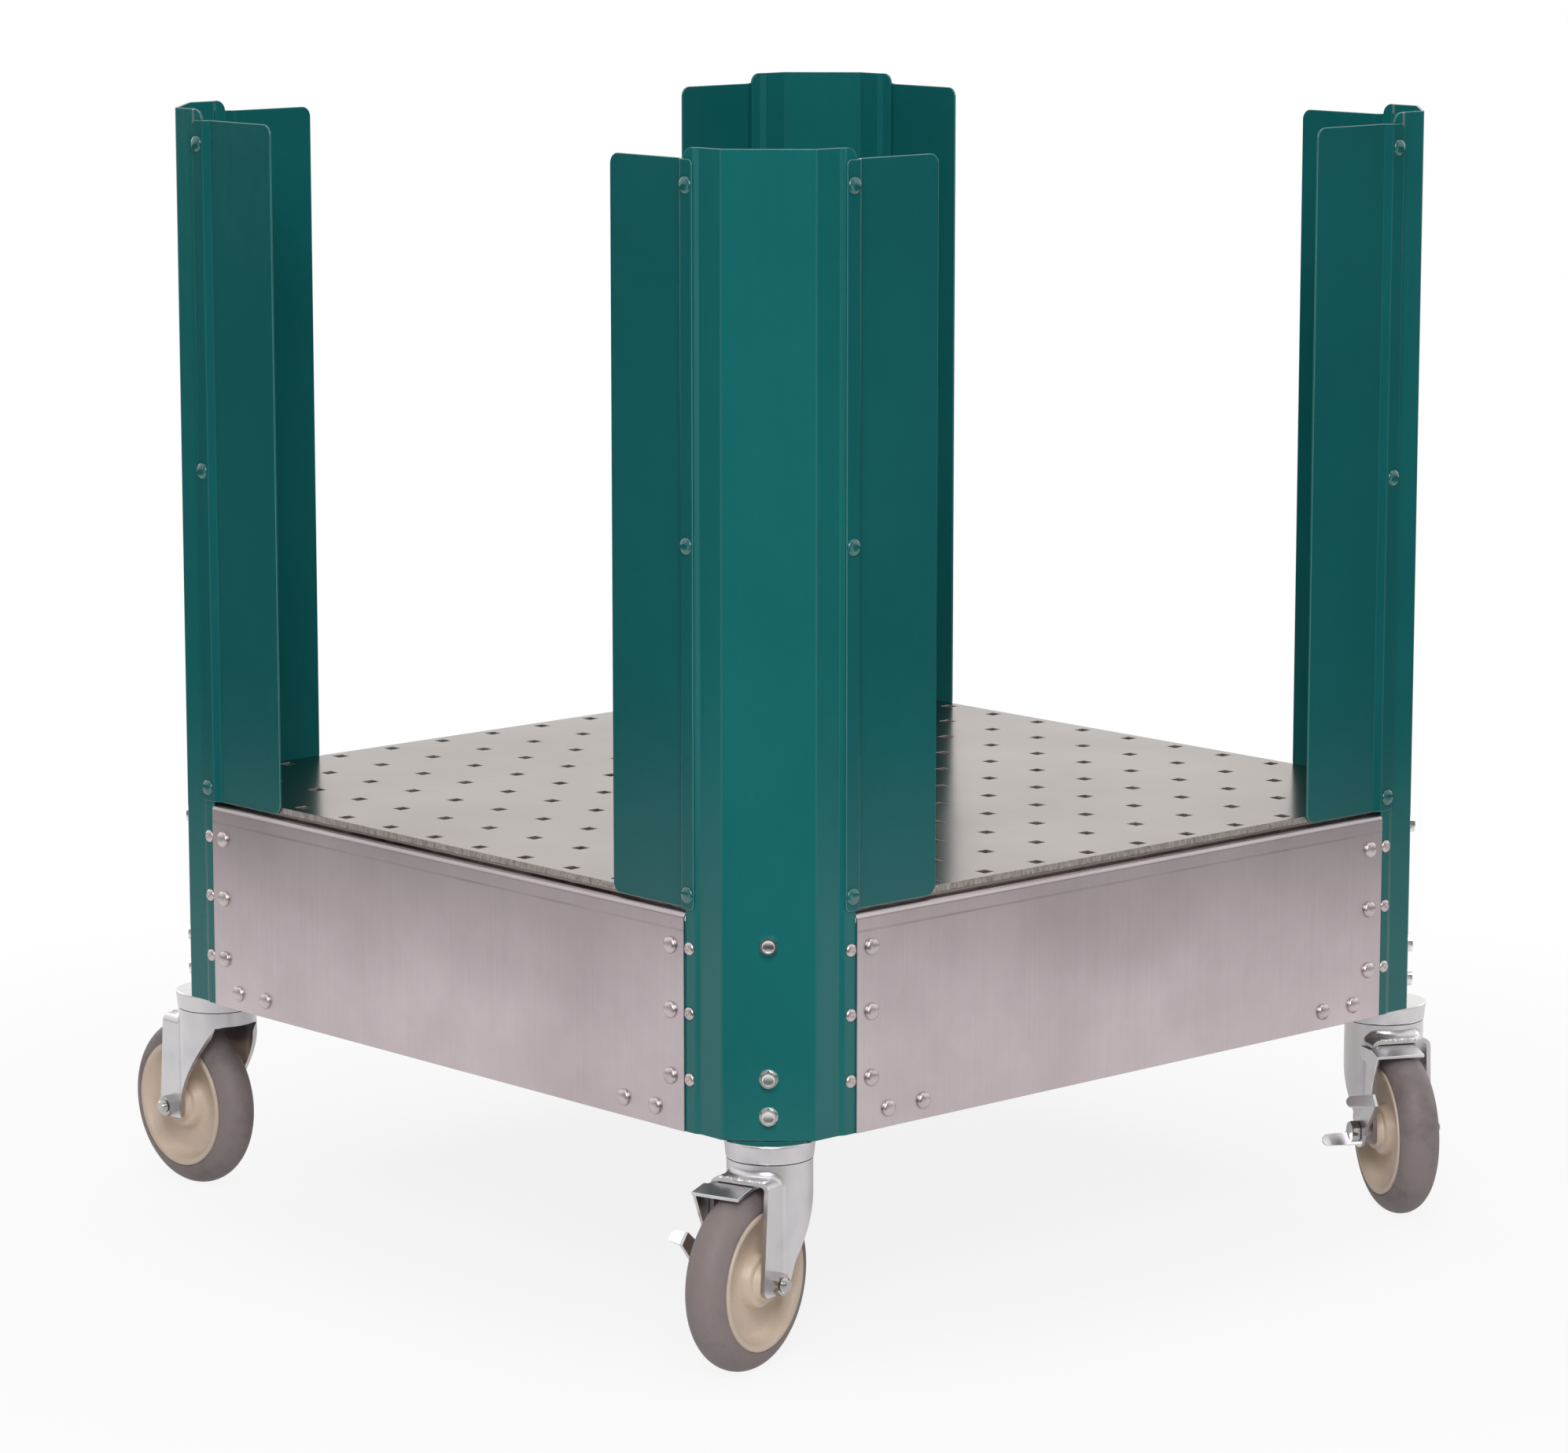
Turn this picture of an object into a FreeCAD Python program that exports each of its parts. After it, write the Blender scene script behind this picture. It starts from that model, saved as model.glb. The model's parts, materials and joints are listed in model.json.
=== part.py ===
import FreeCAD, Part
import math
import os

Vec = FreeCAD.Vector
UP = Vec(0, 0, 1)
ROOT2 = math.sqrt(2)

# Dish dolly, in millimetres. The origin is on the floor under the middle of the base, Z points up,
# and the base's four sides face -Y (front), +X (right), +Y (rear) and -X (left).

# Base panels
base_width = 698.5
panel_height = 152.4
panel_sheet = 1.5
panel_end_inset = 83.2
panel_lip = 25.4
panel_bend = 2.5

# Deck plate with its square holes, the rim under its edge and the channels that carry it
deck_wing_gap = 0.25
deck_corner_gap = 4.0
deck_plate = 4.76
deck_hole = 9.5
deck_pitch = 50.8
deck_hole_margin = 7.9
rim_sheet = 1.5
rim_hole_gap = 0.5
stiffener_sheet = 3.2
stiffener_width = 36.0
stiffener_depth = 25.0
stiffener_bend = 2.0
stiffener_gap = 3.0
stiffener_seat = 9.0
stiffener_pitches = (-2, 2)

# Corner posts
post_face_setback = 36.4
post_face_width = 63.0
post_sheet = 1.9
post_bend = 2.5
post_height = 669.0
post_step_start = 69.6
post_step_run = 4.0
post_lap = 20.8
post_lap_gap = 6.4
post_toe = 71.8
post_toe_height = 26.0
post_top_round = 8.0
post_panel_gap = 0.3

# Wings
wing_sheet = 1.5
wing_bend = 1.5
wing_strip_start = 73.0
wing_strip_end = 85.4
wing_step_run = 4.2
wing_inset = 4.6
wing_reach = 161.0
wing_gap = 2.4
wing_height = 506.5
wing_corner = 7.5
wing_strip_corner = 4.0

# Rivets, told apart by where they sit
rivet_sides = 8
rivet_crown_share = 0.55
small_rivet_head = 9.4
small_rivet_rise = 2.6
large_rivet_head = 12.0
large_rivet_rise = 3.4
wing_rivet_head = 11.8
wing_rivet_rise = 2.4
post_rivet_run = 78.4
rivet_heights = (37.0, 83.0)
top_rivet_gap = 24.4
panel_rivet_run = 96.8
foot_rivet_height = 13.0
foot_rivet_runs = (112.7, 145.7)
wing_rivet_run = 79.0
wing_rivet_heights = (10.2, 248.2, 489.2)

# Bolts through the posts' centre faces
bolt_radius = 4.0
bolt_head_flats = 11.1
bolt_head_rise = 5.3
bolt_flange_radius = 6.6
bolt_flange_rise = 1.4
bolt_play = 0.1
low_bolt_heights = (17.0, 43.0)
top_bolt_gap = 17.4

# Corner brackets and stem sockets behind the posts
bracket_sheet = 3.0
bracket_bend = 3.0
bracket_leg_start = 76.5
bracket_gap = 7.4
socket_size = 26.4
stem_play = 0.1

# Caster heads: stem, cap and king pin
stem_radius = 9.5
stem_length = 105.0
cap_radius = 31.3
cap_foot_radius = 30.0
cap_drop = 0.3
cap_height = 13.3
cap_round = 1.6
cap_round_steps = 3
king_pin_radius = 6.0
king_pin_head_radius = 9.5
king_pin_head = 2.8
swivel_gap = 0.5
running_play = 0.05

# Forks
fork_sheet = 3.2
fork_bend = 3.0
crown_radius = 29.6
fork_half_width = 23.0
shelf_drop = 8.4
shelf_fillet = 5.5
brow_drop = 10.6
brow_reach = 23.0
brow_round = 8.0
trail = 30.2
axle_drop = 93.3
cheek_ahead = 43.0
cheek_above_axle = 50.8
cheek_round = 25.0
shin_ahead = 19.2
shin_above_axle = 12.3
shin_round = 30.0
foot_ahead = 13.7
foot_behind = 14.0
foot_below_axle = 8.8
foot_round = 6.0
rear_edge_behind = 7.4

# Wheels and axles
wheel_radius = 63.5
tyre_half_width = 15.5
tyre_foot_half = 14.4
tyre_edge_radius = 50.0
tyre_bands = 12
core_radius = 48.2
core_half_width = 16.2
rim_wall = 3.0
rim_slope = 5.0
web_half = 5.0
hub_radius = 13.0
hub_foot_radius = 19.5
hub_half_length = 19.4
sleeve_radius = 6.4
axle_radius = 4.76
axle_play = 0.09
axle_flats = 14.3
axle_head_rise = 6.0
axle_nut_rise = 7.0
axle_thread_out = 4.2

# Foot brakes
brake_sheet = 2.4
brake_layer_gap = 0.5
lever_gap = 2.0
shoe_pivot_ahead = 5.5
shoe_pivot_below_shelf = 8.8
shoe_pin_radius = 2.0
shoe_ear = 5.0
shoe_near_edge = 18.0
shoe_far_edge = 11.0
shoe_start_behind = 1.0
shoe_reach = 28.5
shoe_fall = 4.0
shoe_bend = 1.5
shoe_wing = 16.0
shoe_corner = 3.0
shoe_arm_lean = 11.7
shoe_arm_drop = 24.8
shoe_arm_front = 5.0
shoe_arm_round = 12.0
shoe_arm_foot = 9.0
shoe_arm_foot_corner = 2.0
shoe_arm_end_above_axle = 14.0
lever_hub_radius = 12.0
lever_arm_radii = (45.5, 30.0)
lever_arm_angles = (43.6, 205.0)
lever_arm_half_widths = (5.2, 4.8)
lever_corner = 3.0
lever_tab_lengths = (21.4, 20.8)
lever_tab_lean_angles = (28.7, 0.0)
lever_tab_skews = (6.4, 0.0)
lever_tab_tip_half = 4.2
lever_tab_corner = 4.0

# Corners and sides in their order round the base, the sides a half step on from the corners, and the
# direction in which each corner's caster trails at rest, in degrees from +X
corner_names = ("front_right", "rear_right", "rear_left", "front_left")
side_names = ("right", "rear", "left", "front")
trail_angles = (-74.2, -28.2, 100.0, 180.6)
braked = ("front_right", "rear_right")

# Sides of every bolt head and nut, the overrun of every cut, and the closeness at which points count as one
hex_sides = 6
over = 5.0
touch = 0.001

# Worked out from the sizes above
base_half = base_width / 2
base_z = wheel_radius + axle_drop
corner_diagonal = base_half * ROOT2
post_face = corner_diagonal - post_face_setback
post_inner = post_face - post_sheet
post_half_face = post_face_width / 2
facet_inset = (post_face_setback - post_half_face) / ROOT2
facet_start = (post_face_setback + post_half_face) / ROOT2
flange_inner_inset = panel_sheet + post_sheet
swivel_diagonal = post_inner - socket_size / 2
deck_half = base_half - wing_inset - wing_sheet - deck_wing_gap
deck_clip = post_inner - deck_corner_gap
deck_half_rows = int((deck_half - deck_hole / 2 - deck_hole_margin) / deck_pitch + 1 / 2)
lap_height = panel_height - post_lap_gap
bracket_height = panel_height - bracket_gap
bolt_heights = low_bolt_heights + (panel_height - top_bolt_gap,)
side_rivet_heights = rivet_heights + (panel_height - top_rivet_gap,)
cap_top = -cap_drop
cap_bottom = cap_top - cap_height
crown_top = cap_bottom - swivel_gap
shelf_top = crown_top - shelf_drop
shelf_under = shelf_top - fork_sheet
fork_inner = fork_half_width - fork_sheet
brake_layer = fork_half_width + brake_layer_gap
lever_layer = brake_layer + brake_sheet + lever_gap
shoe_pivot = Vec(trail - shoe_pivot_ahead, 0, shelf_under - shoe_pivot_below_shelf)
axle_at = Vec(trail, 0, -axle_drop)


def heading(start, end):
    """Unit vector from one point to another."""
    return (end - start).normalize()


def left_of(direction):
    """Unit vector to the left of a direction in the XY plane."""
    return Vec(-direction.y, direction.x, 0)


def corner_edges(before, corner, after, radius):
    """Where a rounded corner starts and ends, and its arc, if it has one."""
    inward = heading(before, corner)
    outward = heading(corner, after)
    turn = inward.getAngle(outward)
    reach = radius * math.tan(turn / 2)
    start = corner - inward * reach
    end = corner + outward * reach
    if reach == 0:
        return start, end, None
    to_centre = (outward - inward).normalize()
    centre = corner + to_centre * (radius / math.cos(turn / 2))
    return start, end, Part.Arc(start, centre - to_centre * radius, end).toShape()


def bent_line(points, radii):
    """Edges of a line that turns at each inner point on an arc of its radius."""
    edges = []
    last = points[0]
    for k in range(1, len(points) - 1):
        start, end, arc = corner_edges(points[k - 1], points[k], points[k + 1], radii[k])
        edges.append(Part.makeLine(last, start))
        if arc:
            edges.append(arc)
        last = end
    edges.append(Part.makeLine(last, points[-1]))
    return edges


def sheet_section(points, bend, thickness):
    """Face of a bent sheet whose thickness lies to the left of the line, with one inside bend radius."""
    count = len(points)
    directions = [heading(points[k], points[k + 1]) for k in range(count - 1)]
    offset = []
    line_radii = []
    offset_radii = []
    for k in range(count):
        before = left_of(directions[max(k - 1, 0)])
        after = left_of(directions[min(k, count - 2)])
        offset.append(points[k] + (before + after) * (thickness / (1 + before.dot(after))))
        turns_left = before.cross(after).z > 0
        line_radii.append(bend + thickness if turns_left else bend)
        offset_radii.append(bend if turns_left else bend + thickness)
    edges = bent_line(points, line_radii) + bent_line(offset, offset_radii)
    edges.append(Part.makeLine(points[0], offset[0]))
    edges.append(Part.makeLine(points[-1], offset[-1]))
    return Part.Face(Part.Wire(Part.sortEdges(edges)[0]))


def outline_face(corners_in_order):
    """Face inside a closed outline of (x, y, corner radius)."""
    points = [Vec(x, y, 0) for x, y, radius in corners_in_order]
    count = len(points)
    edges = []
    first = last = None
    for k in range(count):
        radius = corners_in_order[k][2]
        start, end, arc = corner_edges(points[k - 1], points[k], points[(k + 1) % count], radius)
        if last is not None:
            edges.append(Part.makeLine(last, start))
        else:
            first = start
        if arc:
            edges.append(arc)
        last = end
    edges.append(Part.makeLine(last, first))
    return Part.Face(Part.Wire(Part.sortEdges(edges)[0]))


def turned(profile):
    """Solid turned about Z from a list of (radius, height)."""
    points = [Vec(radius, 0, height) for radius, height in profile]
    face = Part.Face(Part.makePolygon(points + points[:1]))
    return face.revolve(Vec(0, 0, 0), UP, 360)


def polygon_prism(radius, sides, length):
    """Upright prism on a regular polygon of the given corner radius."""
    ring = [turn_z(Vec(radius, 0, 0), 360 * k / sides) for k in range(sides + 1)]
    return Part.Face(Part.makePolygon(ring)).extrude(Vec(0, 0, length))


def turn_z(point, degrees):
    """A point turned about Z."""
    return FreeCAD.Rotation(UP, degrees).multVec(point)


def placed(shape, at, x_axis, y_axis):
    """A shape moved so that its X and Y axes lie along the given directions."""
    moved = shape.copy()
    turn = FreeCAD.Rotation(x_axis, y_axis, x_axis.cross(y_axis), "XYZ")
    moved.Placement = FreeCAD.Placement(at, turn).multiply(moved.Placement)
    return moved


def spun(shape, degrees):
    """A shape turned about the vertical through the origin."""
    return placed(shape, Vec(0, 0, 0), turn_z(Vec(1, 0, 0), degrees), turn_z(Vec(0, 1, 0), degrees))


def mirrored(shape):
    """A corner piece reflected to the other side of its diagonal."""
    return shape.mirror(Vec(0, 0, 0), Vec(0, 1, 0))


# Corner pieces are made with the diagonal along +X. On their +Y side, run is the distance along the
# panel from the sharp corner where the panels would meet, and inset is the depth behind its outer face.
along_side = Vec(-1, 1, 0) / ROOT2
side_normal = Vec(1, 1, 0) / ROOT2
sharp_corner = Vec(corner_diagonal, 0, 0)


def side_point(run, inset):
    """Plan point on the +Y side of a corner."""
    return sharp_corner + along_side * run - side_normal * inset


def flipped(point):
    """Plan point reflected across the diagonal."""
    return Vec(point.x, -point.y, 0)


def facing_out(shape, run, inset, height):
    """Stands a shape, drawn as run and height, on the +Y side with its Z along the outward normal."""
    return placed(shape, side_point(run, inset) + UP * height, along_side, UP)


def corner_post():
    """Bent post, open at the back, with stepped flanges that run behind the panels at its foot."""
    upper_edge = panel_end_inset - post_panel_gap
    lap_edge = panel_end_inset + post_lap
    toe_edge = panel_end_inset + post_toe
    side = [
        side_point(facet_start, facet_inset),
        side_point(post_step_start, facet_inset),
        side_point(post_step_start + post_step_run, panel_sheet),
        side_point(toe_edge, panel_sheet),
    ]
    line = [flipped(point) for point in reversed(side)] + side
    post = sheet_section(line, post_bend, post_sheet).extrude(Vec(0, 0, post_height))
    past = toe_edge + over
    crest = post_height + over
    shoulder = upper_edge - 2 * post_top_round
    waste_outline = [
        (lap_edge, post_toe_height, 0),
        (past, post_toe_height, 0),
        (past, crest, 0),
        (shoulder, crest, 0),
        (shoulder, post_height, 0),
        (upper_edge, post_height, post_top_round),
        (upper_edge, lap_height, 0),
        (lap_edge, lap_height, 0),
    ]
    waste = outline_face(waste_outline).extrude(Vec(0, 0, flange_inner_inset + over))
    waste = facing_out(waste, 0, 0, 0).translated(side_normal * -(flange_inner_inset + over / 2))
    post = post.cut([waste, mirrored(waste)])
    holes = [bolt_bore(height) for height in bolt_heights]
    return post.cut(holes).translated(UP * base_z)


def bolt_bore(height):
    """Clearance hole for a bolt, from outside the centre face into the stem's bore."""
    length = post_face + over - swivel_diagonal
    return Part.makeCylinder(bolt_radius + bolt_play, length, Vec(swivel_diagonal, 0, height), Vec(1, 0, 0))


def post_bolt(height):
    """Hex bolt on the centre face, flanged if low, its point on the stem or level with the stem's bore."""
    point = swivel_diagonal + stem_radius + stem_play
    head_radius = bolt_head_flats / math.sqrt(3)
    head = polygon_prism(head_radius, hex_sides, bolt_head_rise)
    head = placed(head, Vec(post_face, 0, height), Vec(0, 1, 0), UP)
    shank = Part.makeCylinder(bolt_radius, post_face - point, Vec(point, 0, height), Vec(1, 0, 0))
    if height in low_bolt_heights:
        at = Vec(post_face, 0, height)
        head = head.fuse(Part.makeCylinder(bolt_flange_radius, bolt_flange_rise, at, Vec(1, 0, 0)))
    return head.fuse(shank).translated(UP * base_z)


def corner_wing():
    """Wing on the +Y side: a strip over the post's flange, a step inward and the broad flat leaf."""
    step_end = wing_strip_end + wing_step_run
    line = [
        side_point(wing_strip_start, 0),
        side_point(wing_strip_end, 0),
        side_point(step_end, wing_inset),
        side_point(wing_reach, wing_inset),
    ]
    leaf = sheet_section(line, wing_bend, wing_sheet).extrude(Vec(0, 0, wing_height))
    blank_outline = [
        (wing_strip_start, 0, wing_strip_corner),
        (wing_reach, 0, wing_corner),
        (wing_reach, wing_height, wing_corner),
        (wing_strip_start, wing_height, wing_strip_corner),
    ]
    depth = wing_inset + wing_sheet + over
    blank = outline_face(blank_outline).extrude(Vec(0, 0, depth))
    blank = facing_out(blank, 0, 0, 0).translated(side_normal * (over / 2 - depth))
    return leaf.common(blank).translated(UP * (base_z + panel_height + wing_gap))


def corner_bracket():
    """Plate that closes the post's foot behind the stem socket, with legs along the post's flanges."""
    web_back = post_inner - socket_size - bracket_sheet
    bend_run = (corner_diagonal - web_back) * ROOT2 - flange_inner_inset
    side = [
        side_point(bracket_leg_start, flange_inner_inset),
        side_point(bend_run, flange_inner_inset),
    ]
    line = side + [flipped(point) for point in reversed(side)]
    bracket = sheet_section(line, bracket_bend, bracket_sheet).extrude(UP * bracket_height)
    return bracket.translated(UP * base_z)


def stem_socket():
    """Square block between the post and its bracket, bored for the stem and drilled for the bolts."""
    corner = Vec(post_inner - socket_size, -socket_size / 2, 0)
    block = Part.makeBox(socket_size, socket_size, bracket_height, corner)
    stem_bore = Part.makeCylinder(stem_radius + stem_play, bracket_height, Vec(swivel_diagonal, 0, 0))
    return block.cut([stem_bore] + [bolt_bore(height) for height in bolt_heights]).translated(UP * base_z)


def rivet(head, rise):
    """Low rivet head that stands on the XY plane."""
    rings = []
    for radius, height in ((head / 2, 0), (head / 2 * rivet_crown_share, rise)):
        ring = [turn_z(Vec(radius, 0, height), 360 * k / rivet_sides) for k in range(rivet_sides + 1)]
        rings.append(Part.makePolygon(ring))
    return Part.makeLoft(rings, True, True)


def side_rivets(head, rise, inset, places):
    """Rivets on both sides of one corner, at (run, height) places on the face at the given inset."""
    heads = [facing_out(rivet(head, rise), run, inset, height) for run, height in places]
    return heads + [mirrored(one) for one in heads]


def side_panel():
    """Front panel: an upright sheet whose top is turned inward."""
    line = [Vec(panel_lip, panel_height, 0), Vec(0, panel_height, 0), Vec(0, 0, 0)]
    length = base_width - 2 * panel_end_inset
    panel = sheet_section(line, panel_bend, panel_sheet).extrude(UP * length)
    return placed(panel, Vec(-length / 2, -base_half, base_z), Vec(0, 1, 0), UP)


def deck_outline(inset):
    """Closed outline of the deck, drawn in by a distance all round: a square with clipped corners."""
    half = deck_half - inset
    short = (deck_clip - inset) * ROOT2 - half
    outline = []
    for k in range(4):
        for x, y in ((short, -half), (half, -short)):
            outline.append(turn_z(Vec(x, y, 0), 90 * k))
    return Part.makePolygon(outline + outline[:1])


def square_hole(x, y):
    """Closed square for one hole of the deck."""
    side = deck_hole / 2
    ring = [turn_z(Vec(side, side, 0), 90 * k) + Vec(x, y, 0) for k in range(4)]
    return Part.makePolygon(ring + ring[:1])


def deck():
    """Square plate with clipped corners and a centred grid of square holes."""
    wires = [deck_outline(0)]
    places = [deck_pitch * (k + 1 / 2) for k in range(-deck_half_rows, deck_half_rows)]
    for x in places:
        for y in places:
            if (abs(x) + abs(y) + deck_hole) / ROOT2 < deck_clip - deck_hole_margin:
                wires.append(square_hole(x, y))
    plate = Part.makeFace(wires, "Part::FaceMakerCheese").extrude(UP * deck_plate)
    return plate.translated(UP * (base_z + panel_height + stiffener_sheet))


def deck_rim():
    """Narrow strip all round under the deck's edge, outside its holes."""
    width = deck_hole_margin - rim_hole_gap
    wires = [deck_outline(0), deck_outline(width)]
    rim = Part.makeFace(wires, "Part::FaceMakerCheese").extrude(UP * -rim_sheet)
    return rim.translated(UP * (base_z + panel_height + stiffener_sheet))


def deck_stiffener(pitches):
    """Channel under the deck between two rows of holes, its web's ends resting on the panels' lips."""
    half = stiffener_width / 2
    line = [
        Vec(half, -stiffener_depth, 0),
        Vec(half, 0, 0),
        Vec(-half, 0, 0),
        Vec(-half, -stiffener_depth, 0),
    ]
    lip_edge = base_half - panel_lip
    length = 2 * (lip_edge + stiffener_seat)
    channel = sheet_section(line, stiffener_bend, stiffener_sheet).extrude(UP * length)
    seat_z = base_z + panel_height
    at = Vec(deck_pitch * pitches, length / 2, seat_z + stiffener_sheet)
    channel = placed(channel, at, Vec(1, 0, 0), UP)
    notch = Part.makeBox(stiffener_width, stiffener_seat + stiffener_gap, stiffener_depth)
    corner = Vec(at.x - half, lip_edge - stiffener_gap, seat_z - stiffener_depth)
    notch.translate(corner)
    return channel.cut([notch, notch.mirror(Vec(0, 0, 0), Vec(0, 1, 0))])


# Caster pieces are made on the swivel axis, trailing along +X, with zero height at the panels' lower edge.
# The axle's head, and the brake where there is one, are on the -Y side.


def in_side_view(face, start, end):
    """Solid from a flat outline drawn as X and Z, between two places along Y."""
    solid = face.extrude(UP * (end - start))
    return placed(solid, Vec(0, end, 0), Vec(1, 0, 0), UP)


def caster_head():
    """Stem, flat cap with a rounded edge, and king pin, turned as one piece."""
    pin_end = crown_top - fork_sheet - swivel_gap
    profile = [(0, stem_length), (stem_radius, stem_length), (stem_radius, cap_top)]
    for k in range(cap_round_steps + 1):
        lean = math.pi / 2 * k / cap_round_steps
        out = cap_radius - cap_round + cap_round * math.sin(lean)
        profile.append((out, cap_top - cap_round + cap_round * math.cos(lean)))
    profile += [
        (cap_foot_radius, cap_bottom),
        (king_pin_radius, cap_bottom),
        (king_pin_radius, pin_end),
        (king_pin_head_radius, pin_end),
        (king_pin_head_radius, pin_end - king_pin_head),
        (0, pin_end - king_pin_head),
    ]
    return turned(profile)


def fork_outline():
    """Side view of the fork: crown, brow ahead of the wheel, hollow front edge and leaning rear edge."""
    foot = -axle_drop - foot_below_axle
    front = -crown_radius - over
    top = crown_top + over
    brow = crown_top - brow_drop
    return outline_face(
        [
            (front, top, 0),
            (front, brow, 0),
            (-brow_reach, brow, brow_round),
            (trail - cheek_ahead, cheek_above_axle - axle_drop, cheek_round),
            (trail - shin_ahead, shin_above_axle - axle_drop, shin_round),
            (trail - foot_ahead, foot, foot_round),
            (trail + foot_behind, foot, foot_round),
            (trail + rear_edge_behind, top, 0),
        ]
    )


def caster_fork(has_brake):
    """Stamped fork: a drawn cup under the cap, running into flat legs joined by a shelf behind."""
    inner_radius = crown_radius - fork_sheet
    span = crown_radius + over
    depth = crown_top + axle_drop + foot_below_axle + over
    cup = Part.makeCylinder(crown_radius, depth, Vec(0, 0, crown_top - depth))
    hollow = Part.makeCylinder(inner_radius, depth, Vec(0, 0, crown_top - depth - fork_sheet))
    legs_start = math.sqrt(inner_radius ** 2 - fork_inner ** 2)
    legs_end = trail + foot_behind
    gap_corner = Vec(-span, -fork_inner, shelf_under - depth)
    wheel_gap = Part.makeBox(span + legs_end, 2 * fork_inner, depth, gap_corner)
    section = [
        Vec(fork_half_width, shelf_top - depth, 0),
        Vec(fork_half_width, shelf_top, 0),
        Vec(-fork_half_width, shelf_top, 0),
        Vec(-fork_half_width, shelf_top - depth, 0),
    ]
    legs = sheet_section(section, fork_bend, fork_sheet).extrude(UP * (legs_end - legs_start))
    legs = placed(legs, Vec(legs_start, 0, 0), Vec(0, 1, 0), UP)
    blank = cup.cut([hollow, wheel_gap]).fuse(legs)
    fork = blank.common(in_side_view(fork_outline(), -span, span))
    holes = [
        Part.makeCylinder(king_pin_radius + running_play, depth, Vec(0, 0, shelf_under)),
        cross_bar(axle_radius + axle_play, axle_at, -span, span),
    ]
    if has_brake:
        holes.append(cross_bar(shoe_pin_radius + running_play, shoe_pivot, -span, 0))
    fork = fork.cut(holes).removeSplitter()
    return fork.makeFillet(shelf_fillet, [edge for edge in fork.Edges if at_shelf_root(edge)]).Solids[0]


def at_shelf_root(edge):
    """Whether an edge lies where the cup's wall meets the shelf."""
    return all(
        abs(vertex.Z - shelf_top) < touch and abs(math.hypot(vertex.X, vertex.Y) - crown_radius) < touch
        for vertex in edge.Vertexes
    )


def cross_bar(radius, middle, start, end):
    """Round bar across the caster, between two places along Y."""
    return Part.makeCylinder(radius, end - start, middle + Vec(0, start, 0), Vec(0, 1, 0))


def hex_block(start, rise):
    """Hexagon of the axle's head or nut, from a place along Y outward to +Y."""
    block = polygon_prism(axle_flats / math.sqrt(3), hex_sides, rise)
    return placed(block, axle_at + Vec(0, start, 0), UP, Vec(1, 0, 0))


def axle(head_at):
    """Axle bolt and its lock nut, as two solids. The head bears at -head_at, the nut on the other leg."""
    end = fork_half_width + axle_nut_rise + axle_thread_out
    shank = cross_bar(axle_radius, axle_at, -head_at, end)
    head = hex_block(-head_at - axle_head_rise, axle_head_rise)
    nut = hex_block(fork_half_width, axle_nut_rise)
    nut = nut.cut(cross_bar(axle_radius + axle_play, axle_at, 0, end))
    return Part.makeCompound([shank.fuse(head).removeSplitter(), nut])


def on_axle(shape):
    """Lays a piece turned about Z along the axle."""
    return placed(shape, axle_at, Vec(1, 0, 0), Vec(0, 0, -1))


def axle_sleeve():
    """Tube between the legs, on which the wheel turns."""
    bore = axle_radius + axle_play
    half = [(bore, fork_inner), (sleeve_radius, fork_inner)]
    other_half = [(radius, -height) for radius, height in reversed(half)]
    return on_axle(turned(half + other_half))


def wheel_core():
    """Moulded wheel with a dished web, a raised rim and a hub that reaches to the legs."""
    bore = sleeve_radius + running_play
    half = [
        (bore, hub_half_length),
        (hub_radius, hub_half_length),
        (hub_foot_radius, web_half),
        (core_radius - rim_wall - rim_slope, web_half),
        (core_radius - rim_wall, core_half_width),
        (core_radius, core_half_width),
    ]
    other_half = [(radius, -height) for radius, height in reversed(half)]
    return on_axle(turned(half + other_half))


def tyre():
    """Round-crowned tyre, its crown turned in even bands."""
    rise = wheel_radius - tyre_edge_radius
    crown = (rise ** 2 + tyre_half_width ** 2) / (2 * rise)
    spread = math.asin(tyre_half_width / crown)
    profile = [(core_radius, -tyre_foot_half)]
    for k in range(tyre_bands + 1):
        lean = spread * (2 * k / tyre_bands - 1)
        profile.append((wheel_radius - crown + crown * math.cos(lean), crown * math.sin(lean)))
    profile.append((core_radius, tyre_foot_half))
    return on_axle(turned(profile))


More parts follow.
